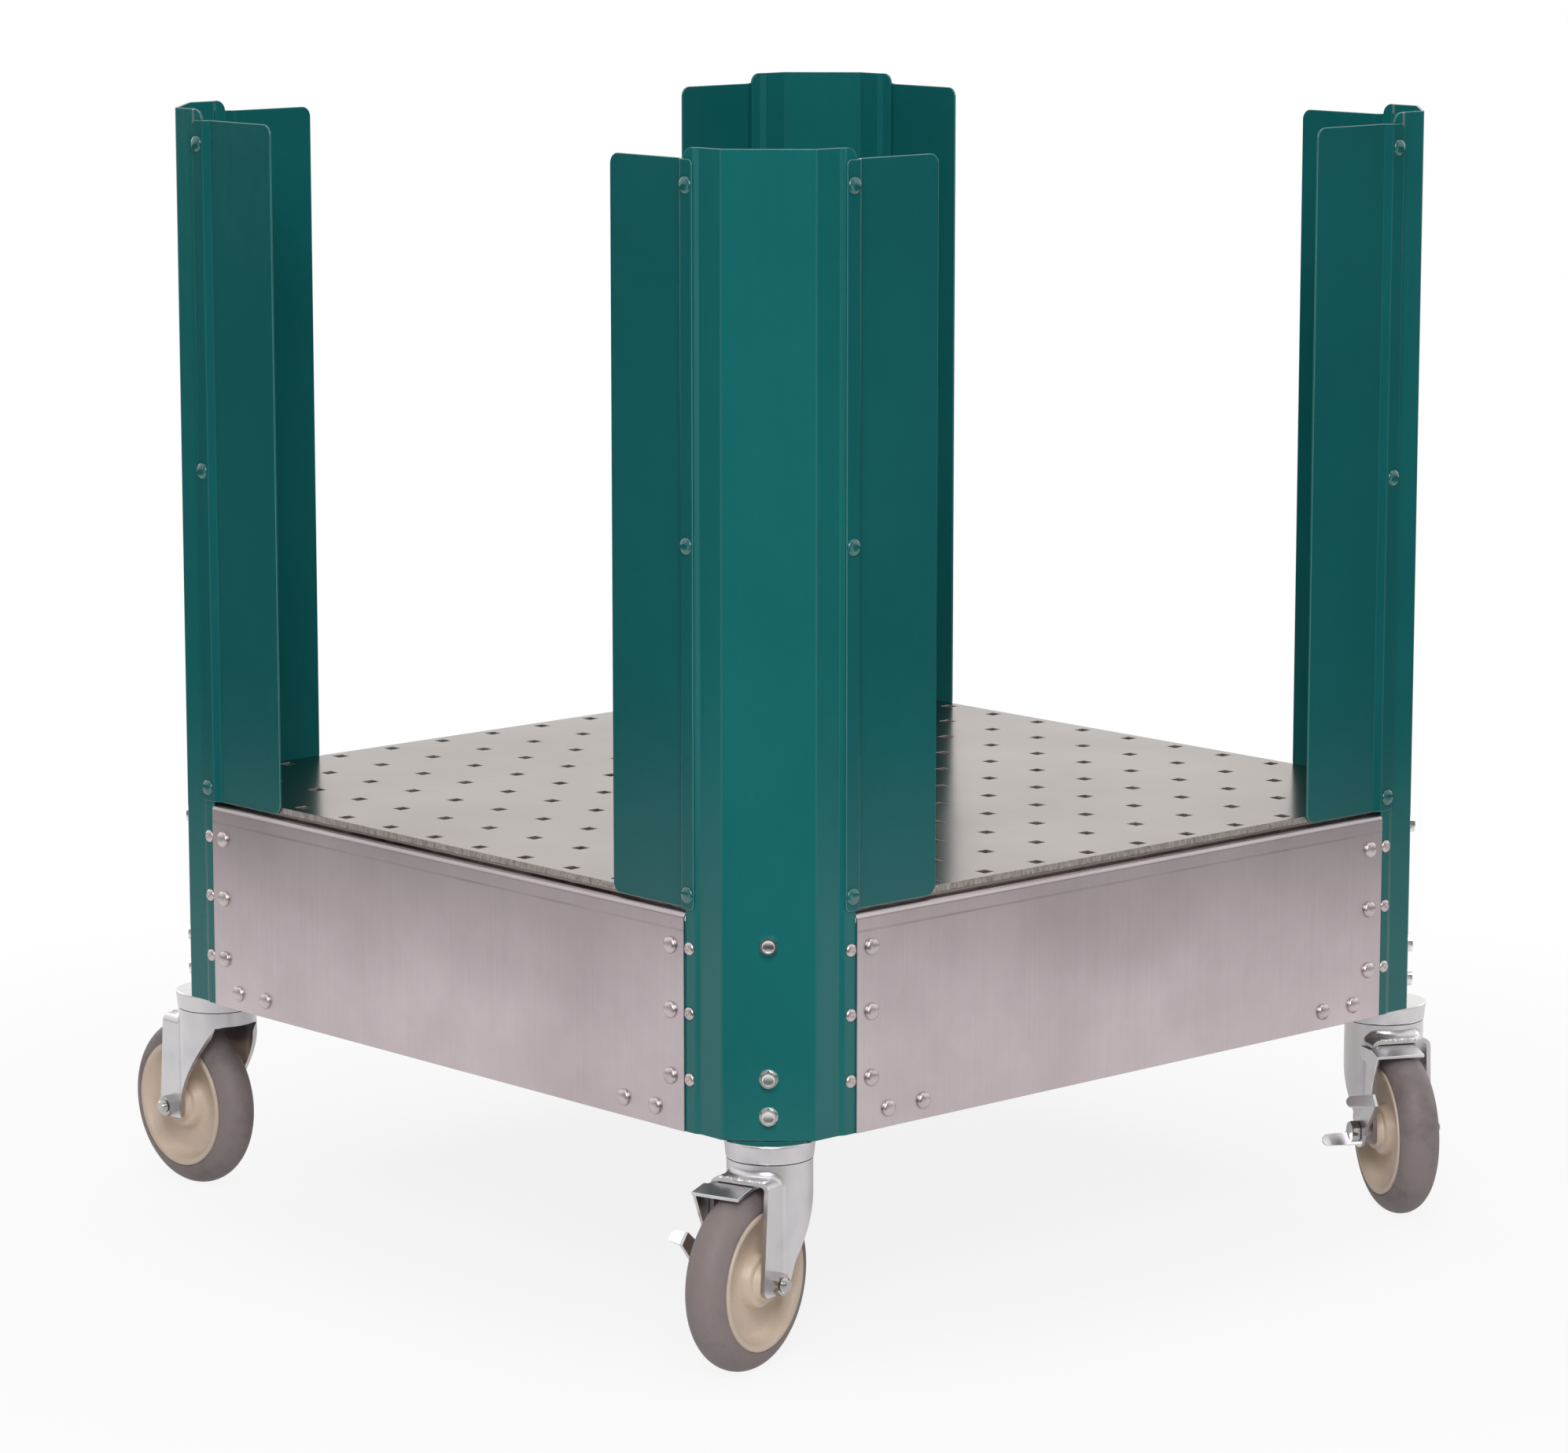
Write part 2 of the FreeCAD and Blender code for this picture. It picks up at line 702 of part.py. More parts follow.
def brake_shoe():
    """Plate over the tread with a side plate outside the leg, pinned in the leg and reaching the lever."""
    half_sheet = brake_sheet / 2
    start = trail + shoe_start_behind
    rear = trail + rear_edge_behind
    tip = trail + shoe_reach
    level = shelf_under - brake_layer_gap
    low = level - shoe_fall
    line = [Vec(tip, low, 0), Vec(rear, level, 0), Vec(start, level, 0)]
    outer = brake_layer + brake_sheet
    plate = in_side_view(sheet_section(line, shoe_bend, brake_sheet), -outer, shoe_far_edge)
    wing_front = tip - shoe_wing
    past = tip + over
    plan = [
        (start, -shoe_near_edge, 0),
        (wing_front, -shoe_near_edge, shoe_corner),
        (wing_front, -outer, 0),
        (past, -outer, 0),
        (past, shoe_far_edge, 0),
        (start, shoe_far_edge, 0),
    ]
    height = shoe_fall + brake_sheet + 2 * over
    keep = outline_face(plan).extrude(UP * height).translated(UP * (level + over - height))
    crest = level - half_sheet - shoe_fall * (wing_front - rear) / (tip - rear)
    end = shoe_arm_end_above_axle - axle_drop
    ear_front = shoe_pivot.x - shoe_ear
    side = [
        (ear_front, shoe_pivot.z + shoe_ear, shoe_corner),
        (ear_front, shoe_pivot.z - shoe_ear, shoe_corner),
        (trail + shoe_arm_front, shoe_pivot.z - shoe_ear, shoe_corner),
        (trail, end, shoe_arm_foot_corner),
        (trail + shoe_arm_foot, end, shoe_arm_foot_corner),
        (tip - shoe_arm_lean, low - shoe_arm_drop, shoe_arm_round),
        (tip - half_sheet, low - half_sheet, 0),
        (wing_front, crest, 0),
    ]
    arm = in_side_view(outline_face(side), -outer, -brake_layer)
    pin = cross_bar(shoe_pin_radius, shoe_pivot, -brake_layer, -fork_inner)
    return plate.common(keep).fuse([arm, pin]).removeSplitter()


def lever_tab(arm, out, across):
    """Foot tab bent out of one of the lever's arms at its end, leaning and skewed, with a rounded tip."""
    half = lever_arm_half_widths[arm]
    length = lever_tab_lengths[arm]
    skew = lever_tab_skews[arm]
    tab_outline = [
        (-half, 0, 0),
        (half, 0, 0),
        (skew + lever_tab_tip_half, length, lever_tab_corner),
        (skew - lever_tab_tip_half, length, lever_tab_corner),
    ]
    tab = outline_face(tab_outline).extrude(UP * -brake_sheet)
    lean = math.radians(lever_tab_lean_angles[arm])
    root = lever_layer + brake_sheet * math.sin(lean)
    outward = Vec(0, -math.cos(lean), 0) - out * math.sin(lean)
    return placed(tab, axle_at + out * lever_arm_radii[arm] - Vec(0, root, 0), across, outward)


def brake_lever():
    """Rocking lever on the axle bolt: one tab to set the brake, one to let it go."""
    outline = []
    tabs = []
    middle = Vec(trail, -axle_drop, 0)
    hub_reach = lever_hub_radius / ROOT2
    for arm, degrees in enumerate(lever_arm_angles):
        turn = math.radians(degrees)
        out = Vec(math.cos(turn), math.sin(turn), 0)
        across = left_of(out)
        end = middle + out * lever_arm_radii[arm]
        half = lever_arm_half_widths[arm]
        for point, corner in (
            (middle + (out - across) * hub_reach, lever_corner),
            (end - across * half, 0),
            (end + across * half, 0),
            (middle + (out + across) * hub_reach, lever_corner),
        ):
            outline.append((point.x, point.y, corner))
        tabs.append(lever_tab(arm, Vec(out.x, 0, out.y), Vec(across.x, 0, across.y)))
    outer = lever_layer + brake_sheet
    plate = in_side_view(outline_face(outline), -outer, -lever_layer)
    hub = Part.makeCylinder(lever_hub_radius, brake_sheet, axle_at - Vec(0, outer, 0), Vec(0, 1, 0))
    hole = cross_bar(axle_radius + axle_play, axle_at, -outer - over, 0)
    return plate.fuse([hub] + tabs).cut(hole).removeSplitter()


def build():
    """All pieces in place, by node name."""
    parts = {"deck_plate": deck(), "deck_rim": deck_rim()}
    for number, pitches in enumerate(stiffener_pitches, 1):
        parts[f"deck_stiffener_{number}"] = deck_stiffener(pitches)
    panel = side_panel()
    for k, side in enumerate(side_names):
        parts[f"{side}_panel"] = spun(panel, 90 * (k + 1))
    post_places = [(post_rivet_run, height) for height in side_rivet_heights]
    panel_places = [(panel_rivet_run, height) for height in side_rivet_heights]
    panel_places += [(run, foot_rivet_height) for run in foot_rivet_runs]
    wing_foot = panel_height + wing_gap
    wing_places = [(wing_rivet_run, wing_foot + height) for height in wing_rivet_heights]
    rivets = {
        "post_rivets": side_rivets(small_rivet_head, small_rivet_rise, panel_sheet, post_places),
        "panel_rivets": side_rivets(large_rivet_head, large_rivet_rise, 0, panel_places),
        "wing_rivets": side_rivets(wing_rivet_head, wing_rivet_rise, 0, wing_places),
    }
    corner_turns = [90 * k - 45 for k in range(len(corner_names))]
    for name, heads in rivets.items():
        lifted = [head.translated(UP * base_z) for head in heads]
        parts[name] = Part.makeCompound([spun(head, turn) for turn in corner_turns for head in lifted])
    bolts = [post_bolt(height) for height in bolt_heights]
    parts["post_bolts"] = Part.makeCompound([spun(bolt, turn) for turn in corner_turns for bolt in bolts])
    for k, (corner, turn) in enumerate(zip(corner_names, corner_turns)):
        parts[f"{corner}_post"] = spun(corner_post(), turn)
        parts[f"{corner}_bracket"] = spun(corner_bracket(), turn)
        parts[f"{corner}_stem_socket"] = spun(stem_socket(), turn)
        parts[f"{corner}_{side_names[k]}_wing"] = spun(corner_wing(), turn)
        parts[f"{corner}_{side_names[k - 1]}_wing"] = spun(mirrored(corner_wing()), turn)
        has_brake = corner in braked
        pieces = {
            "caster_head": caster_head(),
            "fork": caster_fork(has_brake),
            "axle": axle(lever_layer + brake_sheet + brake_layer_gap if has_brake else fork_half_width),
            "axle_sleeve": axle_sleeve(),
            "wheel": wheel_core(),
            "tyre": tyre(),
        }
        if has_brake:
            pieces["brake_shoe"] = brake_shoe()
            pieces["brake_lever"] = brake_lever()
        swivel = turn_z(Vec(swivel_diagonal, 0, base_z), turn)
        for name, piece in pieces.items():
            parts[f"{corner}_{name}"] = spun(piece, trail_angles[k]).translated(swivel)
    return parts


os.makedirs("parts", exist_ok=True)
for node, shape in build().items():
    shape.exportStep(f"parts/{node}.step")
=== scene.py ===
import json
import math
import bpy
from mathutils import Matrix, Vector

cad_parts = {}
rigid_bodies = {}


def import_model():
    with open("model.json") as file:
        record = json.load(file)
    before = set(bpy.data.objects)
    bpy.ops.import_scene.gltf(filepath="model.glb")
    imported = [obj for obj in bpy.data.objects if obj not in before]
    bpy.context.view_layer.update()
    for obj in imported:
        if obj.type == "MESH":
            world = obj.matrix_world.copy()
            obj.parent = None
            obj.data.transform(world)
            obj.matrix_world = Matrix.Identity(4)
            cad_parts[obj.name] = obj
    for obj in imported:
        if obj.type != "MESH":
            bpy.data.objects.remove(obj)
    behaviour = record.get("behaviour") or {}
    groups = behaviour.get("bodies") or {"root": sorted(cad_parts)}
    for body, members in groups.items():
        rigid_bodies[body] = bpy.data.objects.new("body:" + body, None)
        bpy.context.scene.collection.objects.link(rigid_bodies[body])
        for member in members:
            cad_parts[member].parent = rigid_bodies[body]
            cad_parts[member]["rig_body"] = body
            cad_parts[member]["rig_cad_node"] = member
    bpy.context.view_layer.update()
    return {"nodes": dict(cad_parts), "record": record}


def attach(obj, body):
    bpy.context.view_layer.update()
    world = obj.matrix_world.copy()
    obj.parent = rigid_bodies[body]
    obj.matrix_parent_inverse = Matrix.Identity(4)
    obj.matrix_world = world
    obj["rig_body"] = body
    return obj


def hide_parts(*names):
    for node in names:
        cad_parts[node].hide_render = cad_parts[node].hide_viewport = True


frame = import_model()
nodes = frame["nodes"]
record = frame["record"]
scene = bpy.context.scene
body_of_node = {node: body for body, names in record["behaviour"]["bodies"].items() for node in names}
slot_of_node = {row["node"]: row["material_slot"] for row in record["subparts"]}

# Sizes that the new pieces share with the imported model, in metres
BASE_HALF = 0.34925
BASE_Z = 0.1568
PANEL_HEIGHT = 0.1524
PANEL_SHEET = 0.0015
PANEL_FOLD_DROP = 0.0125
POST_SETBACK = 0.0364
POST_SHEET = 0.0019
WING_GAP = 0.0024
CORNER_DIAGONAL = BASE_HALF * math.sqrt(2)
POST_FACE = CORNER_DIAGONAL - POST_SETBACK

DECK_TOP = 0.31716
DECK_HALF = 0.3429
DECK_THICK = 0.00476
DECK_CORNER_GAP = 0.0040
DECK_PITCH = 0.0508
DECK_ROWS = 14
DECK_HOLE = 0.0095

# Rivets by how far they sit from the corner, and fasteners by their height above the base's foot
POST_RIVET_RUN = 0.0784
PANEL_RIVET_RUN = 0.0968
WING_RIVET_RUN = 0.079
SIDE_RIVET_HEIGHTS = (0.037, 0.083, 0.128)
WING_RIVET_HEIGHTS = (0.0102, 0.2482, 0.4892)
FOOT_RIVET_RUNS = (0.1127, 0.1457)
FOOT_RIVET_HEIGHT = 0.013
LOW_BOLT_HEIGHTS = (0.017, 0.043)
TOP_BOLT_HEIGHT = 0.135

# Casters, with the way each corner faces and the way each wheel trails, in degrees
SWIVEL = 0.312834
TRAIL = 0.0302
AXLE_DROP = 0.0933
CORNERS = {"front_right": -45, "rear_right": 45, "rear_left": 135, "front_left": 225}
TRAIL_ANGLES = {"front_right": -74.2, "rear_right": -28.2, "rear_left": 100.0, "front_left": 180.6}
BRAKED = ("front_right", "rear_right")

# Axle bolts, measured along the axle from the wheel's middle
FORK_LEG = 0.023
BRAKE_ARM = 0.0308
AXLE_RADIUS = 0.00476
AXLE_FLATS = 0.0143
AXLE_HEAD_RISE = 0.006
AXLE_DISH = 0.0006
NUT_RISE = 0.007
THREAD_RADIUS = 0.0045
THREAD_PITCH = 0.0011
THREAD_PAST_NUT = 0.0037

# Half of the moulded wheel's section from its bore to its lip, as (radius, height), and the tyre's section
CORE_HALF = [
    (0.00645, 0.0194), (0.0126, 0.0194), (0.0132, 0.0188), (0.0136, 0.0150), (0.0142, 0.0142),
    (0.0172, 0.0138), (0.0182, 0.0130), (0.0192, 0.0078), (0.0204, 0.0062), (0.0226, 0.0053),
    (0.0260, 0.0050), (0.0345, 0.0050), (0.0378, 0.0056), (0.0402, 0.0074), (0.0424, 0.0116),
    (0.0440, 0.0150), (0.0450, 0.0159), (0.0464, 0.0162), (0.0478, 0.0160), (0.0482, 0.0154),
]
TYRE_SEAT = [(0.0482, 0.0144), (0.0492, 0.0149)]
TYRE_MIDDLE = 0.04785
TYRE_CROWN = 0.01558
TYRE_HALF = 0.0154
WHEEL_SIDES = 96

# Workbench settings, in metres and degrees
MERGE = 0.000002
FLAT_ANGLE = 1.0
SHEET_ANGLE = 35
DECK_ANGLE = 40
UP = Vector((0, 0, 1))

# Studio, with each lamp as its name, spot, width and power
FLOOR_SIZE = 40
LAMP_AIM = Vector((0, 0, 0.4))
LAMPS = (
    ("lamp_front", (2.6, -2.4, 2.5), 2.0, 75),
    ("lamp_left", (-2.6, -3.6, 2.4), 2.0, 3),
    ("lamp_right", (3.0, 2.0, 1.8), 1.6, 3),
    ("lamp_far_side", (-3.8, 0.0, 1.6), 1.6, 18),
    ("lamp_rear", (0.0, 3.8, 1.6), 1.6, 18),
    ("lamp_top", (-0.4, 0.4, 4.0), 3.0, 45),
)
CAMERA_SPOT = Vector((3.0353, -2.7846, 1.0786))
CAMERA_AIM = Vector((-0.0071, -0.0078, 0.3619))
CAMERA_SENSOR = 36.0
CAMERA_LENS = 127.77


# Node helpers for the finishes

def new_finish(name):
    """A new material with its node tree, its shader and the place on the piece to read."""
    mat = bpy.data.materials.new(name)
    mat.use_nodes = True
    tree = mat.node_tree
    shader = tree.nodes["Principled BSDF"]
    place = tree.nodes.new("ShaderNodeTexCoord").outputs["Object"]
    return mat, tree, shader, place


def stretched(tree, place, scale):
    """The place squeezed or drawn out along each axis."""
    node = tree.nodes.new("ShaderNodeMapping")
    node.inputs["Scale"].default_value = scale
    tree.links.new(place, node.inputs["Vector"])
    return node.outputs["Vector"]


def cloud(tree, place, scale, detail=4.0, rough=0.55):
    """Soft noise between 0 and 1."""
    node = tree.nodes.new("ShaderNodeTexNoise")
    node.inputs["Scale"].default_value = scale
    node.inputs["Detail"].default_value = detail
    node.inputs["Roughness"].default_value = rough
    tree.links.new(place, node.inputs["Vector"])
    return node.outputs["Fac"]


def between(tree, value, low, high, start=0.35, end=0.65):
    """A value's run from start to end spread from low to high."""
    node = tree.nodes.new("ShaderNodeMapRange")
    node.inputs["From Min"].default_value = start
    node.inputs["From Max"].default_value = end
    node.inputs["To Min"].default_value = low
    node.inputs["To Max"].default_value = high
    tree.links.new(value, node.inputs["Value"])
    return node.outputs["Result"]


def ramp(tree, value, stops):
    """Colours along a value."""
    node = tree.nodes.new("ShaderNodeValToRGB")
    band = node.color_ramp
    for element, (position, colour) in zip(band.elements, (stops[0], stops[-1])):
        element.position = position
        element.color = (*colour, 1)
    for position, colour in stops[1:-1]:
        band.elements.new(position).color = (*colour, 1)
    tree.links.new(value, node.inputs["Fac"])
    return node.outputs["Color"]


def mixed(tree, share, first, second):
    """Two colours mixed by a share."""
    node = tree.nodes.new("ShaderNodeMix")
    node.data_type = "RGBA"
    sockets = {i.name: i for i in node.inputs if i.type in ("RGBA", "VALUE") and i.enabled}
    for name, value in (("Factor", share), ("A", first), ("B", second)):
        if isinstance(value, tuple):
            sockets[name].default_value = (*value, 1)
        else:
            tree.links.new(value, sockets[name])
    return [o for o in node.outputs if o.type == "RGBA" and o.enabled][0]


def counted(tree, operation, first, second):
    """One step of arithmetic."""
    node = tree.nodes.new("ShaderNodeMath")
    node.operation = operation
    for socket, value in zip(node.inputs, (first, second)):
        if isinstance(value, (int, float)):
            socket.default_value = value
        else:
            tree.links.new(value, socket)
    return node.outputs["Value"]


def bumped(tree, shader, height, depth, strength):
    """Relief from a height between 0 and 1."""
    node = tree.nodes.new("ShaderNodeBump")
    node.inputs["Strength"].default_value = strength
    node.inputs["Distance"].default_value = depth
    tree.links.new(height, node.inputs["Height"])
    tree.links.new(node.outputs["Normal"], shader.inputs["Normal"])


def fed(tree, shader, socket, value):
    """A value led into one of the shader's sockets."""
    tree.links.new(value, shader.inputs[socket])


# Finishes

def green_paint(name, deep, bright, rough, gloss):
    """Gloss stove enamel with a slight orange peel and a few rubbed places."""
    mat, tree, shader, place = new_finish(name)
    rubbed_colour = (0.16, 0.32, 0.32)
    drift = cloud(tree, place, scale=5.0, detail=3.0)
    rubbed = cloud(tree, stretched(tree, place, (60, 60, 9)), scale=3.0, detail=6.0, rough=0.7)
    peel = cloud(tree, place, scale=260.0, detail=2.0, rough=0.4)
    colour = ramp(tree, drift, [(0.3, deep), (0.7, bright)])
    flecks = between(tree, rubbed, 0.0, 0.05, start=0.62, end=0.80)
    fed(tree, shader, "Base Color", mixed(tree, flecks, colour, rubbed_colour))
    fed(tree, shader, "Roughness", between(tree, rubbed, *rough))
    bumped(tree, shader, peel, depth=0.0002, strength=0.2)
    shader.inputs["Specular IOR Level"].default_value = gloss
    return mat


def fold_painted_shading(tree, place, colour, blotch, dark, fold_line):
    """Steel with a painted dark reflection in clouds up to a fold, and a broken line of painted crease shade
    along the fold.
    """
    painted_reflection_colour = tuple(0.68 * part for part in dark)
    crease_shade_colour = (0.27, 0.22, 0.22)
    split = tree.nodes.new("ShaderNodeSeparateXYZ")
    tree.links.new(place, split.inputs["Vector"])
    height = split.outputs["Z"]
    # Painted dark reflection: darker clouds rising towards the fold, standing in for the dark surroundings
    # the sheet mirrors there.
    painted_reflection = between(tree, height, 0.0, 0.55, start=fold_line - 0.085, end=fold_line + 0.01)
    painted_reflection = counted(tree, "MULTIPLY", painted_reflection, between(tree, blotch, 0.025, 1.325, start=0.2, end=0.8))
    colour = mixed(tree, painted_reflection, colour, painted_reflection_colour)
    # Painted crease shade: a broken dark line along the fold, where the bend turns from the light.
    away = counted(tree, "ABSOLUTE", counted(tree, "SUBTRACT", height, fold_line), 0)
    painted_crease_shade = between(tree, away, 0.55, 0.0, start=0.0003, end=0.0012)
    breaks = between(tree, cloud(tree, place, scale=14.0, detail=3.0), 0.25, 1.0)
    return mixed(tree, counted(tree, "MULTIPLY", painted_crease_shade, breaks), colour, crease_shade_colour)


def rolled_steel(name, dark, light, rough, grain_scale, fold_line=None):
    """Stainless sheet with a fine grain, clouded by handling, and with a painted dark reflection and painted
    crease shade at its fold where it has one.
    """
    mat, tree, shader, place = new_finish(name)
    grain_share = 0.22
    smear_share = 0.78
    grain = cloud(tree, stretched(tree, place, grain_scale), scale=1.0, detail=5.0, rough=0.7)
    smear = cloud(tree, place, scale=9.0, detail=5.0, rough=0.6)
    blotch = cloud(tree, stretched(tree, place, (1, 1, 1.6)), scale=3.2, detail=2.0)
    tone = counted(tree, "ADD", counted(tree, "MULTIPLY", grain, grain_share),
                   counted(tree, "MULTIPLY", smear, smear_share))
    colour = ramp(tree, tone, [(0.2, dark), (0.8, light)])
    if fold_line is not None:
        colour = fold_painted_shading(tree, place, colour, blotch, dark, fold_line)
    relief = counted(tree, "ADD", grain, counted(tree, "MULTIPLY", smear, 0.5))
    fed(tree, shader, "Base Color", colour)
    fed(tree, shader, "Roughness", between(tree, blotch, *rough, start=0.2, end=0.8))
    bumped(tree, shader, relief, depth=0.00012, strength=0.25)
    shader.inputs["Metallic"].default_value = 1.0
    return mat


def zinc_plate(name, dark, light, rough):
    """Satin bright zinc with a faint blue and yellow cast and a very fine grain."""
    mat, tree, shader, place = new_finish(name)
    yellow = (light[0], light[1] * 0.985, light[2] * 0.94)
    cast = cloud(tree, place, scale=32.0, detail=2.0)
    grain = cloud(tree, place, scale=900.0, detail=3.0, rough=0.6)
    colour = ramp(tree, cast, [(0.3, dark), (0.5, light), (0.72, yellow)])
    specks = between(tree, grain, 0.0, 0.10, start=0.5, end=0.8)
    fed(tree, shader, "Base Color", mixed(tree, specks, colour, dark))
    fed(tree, shader, "Roughness", between(tree, cast, *rough))
    bumped(tree, shader, grain, depth=0.00004, strength=0.05)
    shader.inputs["Metallic"].default_value = 1.0
    return mat


def sheared_edge(name, dark, light):
    """Torn edge of thick plate."""
    mat, tree, shader, place = new_finish(name)
    torn = cloud(tree, stretched(tree, place, (1, 1, 0.35)), scale=620.0, detail=5.0, rough=0.7)
    fed(tree, shader, "Base Color", ramp(tree, torn, [(0.35, dark), (0.60, light)]))
    fed(tree, shader, "Roughness", between(tree, torn, 0.55, 0.3))
    bumped(tree, shader, torn, depth=0.0006, strength=0.7)
    shader.inputs["Metallic"].default_value = 0.9
    return mat


def moulded_core():
    """Tan moulded wheel with fine speckle."""
    mat, tree, shader, place = new_finish("moulded_core")
    tan = (0.78, 0.630, 0.495)
    pale_tan = (0.88, 0.725, 0.585)
    speck_colour = (0.42, 0.33, 0.25)
    drift = cloud(tree, place, scale=26.0, detail=3.0)
    speck = cloud(tree, place, scale=700.0, detail=3.0, rough=0.6)
    colour = ramp(tree, drift, [(0.3, tan), (0.7, pale_tan)])
    specks = between(tree, speck, 0.0, 0.22, start=0.56, end=0.75)
    fed(tree, shader, "Base Color", mixed(tree, specks, colour, speck_colour))
    fed(tree, shader, "Roughness", between(tree, drift, 0.30, 0.44))
    bumped(tree, shader, speck, depth=0.00015, strength=0.25)
    return mat


def worn_tyre():
    """Grey tread with brown scuffs round its crown."""
    mat, tree, shader, place = new_finish("worn_tyre")
    dark_brown = (0.215, 0.176, 0.160)
    grey = (0.305, 0.254, 0.258)
    scuff_brown = (0.340, 0.270, 0.235)
    grit_colour = (0.16, 0.135, 0.125)
    drift = cloud(tree, place, scale=22.0, detail=5.0, rough=0.65)
    grit = cloud(tree, place, scale=520.0, detail=4.0, rough=0.65)
    colour = ramp(tree, drift, [(0.30, dark_brown), (0.50, grey), (0.74, scuff_brown)])
    pits = between(tree, grit, 0.0, 0.25, start=0.55, end=0.78)
    fed(tree, shader, "Base Color", mixed(tree, pits, colour, grit_colour))
    fed(tree, shader, "Roughness", between(tree, grit, 0.5, 0.68))
    bumped(tree, shader, grit, depth=0.0003, strength=0.35)
    return mat


PAINT = green_paint("green_enamel", deep=(0.0085, 0.160, 0.160), bright=(0.0120, 0.186, 0.186),
                    rough=(0.10, 0.17), gloss=0.3)
# Darker enamel on the wings: painted shade, because the wings' side-on faces take less light than the posts'
# centre faces.
PAINT_WING_WITH_PAINTED_SHADE = green_paint("green_enamel_wing_painted_shade", deep=(0.0075, 0.134, 0.137), bright=(0.0105, 0.157, 0.160),
                         rough=(0.10, 0.17), gloss=0.3)
# Lighter enamel on the rounded cut edges: a painted highlight along the edges of posts and wings.
PAINT_EDGE_PAINTED_HIGHLIGHT = green_paint("green_enamel_edge_painted_highlight", deep=(0.045, 0.230, 0.225), bright=(0.075, 0.290, 0.280),
                         rough=(0.10, 0.16), gloss=0.7)
PAINT_RIVET = green_paint("green_enamel_rivet", deep=(0.0060, 0.130, 0.130), bright=(0.0100, 0.165, 0.165),
                          rough=(0.06, 0.12), gloss=1.0)
# The panels take a painted dark reflection below their top fold and painted shade along its crease.
PANEL = rolled_steel("panel_steel", dark=(0.463, 0.395, 0.411), light=(0.697, 0.611, 0.632),
                     rough=(0.28, 0.34), grain_scale=(450, 450, 6),
                     fold_line=BASE_Z + PANEL_HEIGHT - PANEL_FOLD_DROP)
# Deck steel kept dark and brown: partly its own tone, partly a painted dark reflection of its surroundings.
DECK_WITH_PAINTED_REFLECTION = rolled_steel("deck_steel", dark=(0.247, 0.201, 0.176), light=(0.361, 0.305, 0.272),
                    rough=(0.16, 0.265), grain_scale=(5, 5, 900))
RIVET = zinc_plate("rivet_steel", dark=(0.49, 0.43, 0.43), light=(0.59, 0.525, 0.53), rough=(0.28, 0.36))
ZINC = zinc_plate("zinc_plate", dark=(0.585, 0.57, 0.59), light=(0.67, 0.645, 0.665), rough=(0.28, 0.33))
# Near-white zinc on rounded cut edges and on the face bolts: a painted highlight.
ZINC_EDGE_PAINTED_HIGHLIGHT = zinc_plate("zinc_edge_painted_highlight", dark=(0.80, 0.80, 0.80), light=(0.90, 0.90, 0.89), rough=(0.20, 0.265))
# Darker zinc on the axle bolts and nuts: painted shade, setting the nut's facets off from the fork leg.
NUT_PAINTED_SHADE = zinc_plate("zinc_nut_painted_shade", dark=(0.42, 0.41, 0.41), light=(0.50, 0.49, 0.48), rough=(0.14, 0.22))
POLISHED = zinc_plate("zinc_polished", dark=(0.66, 0.66, 0.66), light=(0.74, 0.74, 0.73), rough=(0.10, 0.14))
# Near-white torn steel for the shelf beads: partly bright cut metal, partly a painted highlight.
SHEARED_WITH_PAINTED_HIGHLIGHT = sheared_edge("sheared_edge", dark=(0.52, 0.49, 0.47), light=(0.88, 0.86, 0.84))
DECK_EDGE = sheared_edge("deck_edge", dark=(0.24, 0.21, 0.20), light=(0.50, 0.46, 0.44))
CORE = moulded_core()
TYRE = worn_tyre()
FINISH = {"green_paint": PAINT, "panel_steel": PANEL, "deck_steel": DECK_WITH_PAINTED_REFLECTION, "rivet_steel": RIVET,
          "zinc_plate": ZINC, "wheel_core": CORE, "tyre": TYRE}


# Workbench helpers

def alone(obj):
    """Only this object selected and active."""
    bpy.ops.object.select_all(action="DESELECT")
    obj.select_set(True)
    bpy.context.view_layer.objects.active = obj


def editing(mode):
    """All of the active mesh open for editing, with vertices, edges or faces picked."""
    bpy.ops.object.mode_set(mode="EDIT")
    bpy.ops.mesh.select_mode(type=mode)
    bpy.ops.mesh.select_all(action="SELECT")


def closed_up():
    """Ends editing with doubles merged and faces turned outward."""
    bpy.ops.mesh.select_all(action="SELECT")
    bpy.ops.mesh.remove_doubles(threshold=MERGE)
    bpy.ops.mesh.normals_make_consistent(inside=False)
    bpy.ops.object.mode_set(mode="OBJECT")


def ring(name, sides, radius, height=0.0, filled=False):
    """A level ring, open for editing with all its edges picked."""
    bpy.ops.object.select_all(action="DESELECT")
    bpy.ops.mesh.primitive_circle_add(vertices=sides, radius=radius, location=(0, 0, height),
                                      fill_type="NGON" if filled else "NOTHING")
    obj = bpy.context.object
    obj.name = name
    alone(obj)
    bpy.ops.object.transform_apply(location=True, rotation=True, scale=True)
    editing("EDGE")
    return obj


def pulled_up(rise):
    """The picked ring pulled along its axis into a new wall."""
    bpy.ops.mesh.extrude_edges_move(TRANSFORM_OT_translate={"value": (0, 0, rise)})


def widened(share, height):
    """The picked ring made wider or narrower at its height."""
    bpy.ops.transform.resize(value=(share, share, 1), center_override=(0, 0, height))


def pulled_rings(name, profile, sides, cap_first=False, cap_last=False):
    """A ring pulled along its axis again and again, taking each (radius, height) in turn."""
    radius, height = profile[0]
    obj = ring(name, sides, radius, height, cap_first)
    if cap_first:
        bpy.ops.mesh.region_to_loop()
    for next_radius, next_height in profile[1:]:
        pulled_up(next_height - height)
        widened(next_radius / radius, next_height)
        radius, height = next_radius, next_height
    if cap_last:
        bpy.ops.mesh.edge_face_add()
    closed_up()
    return obj


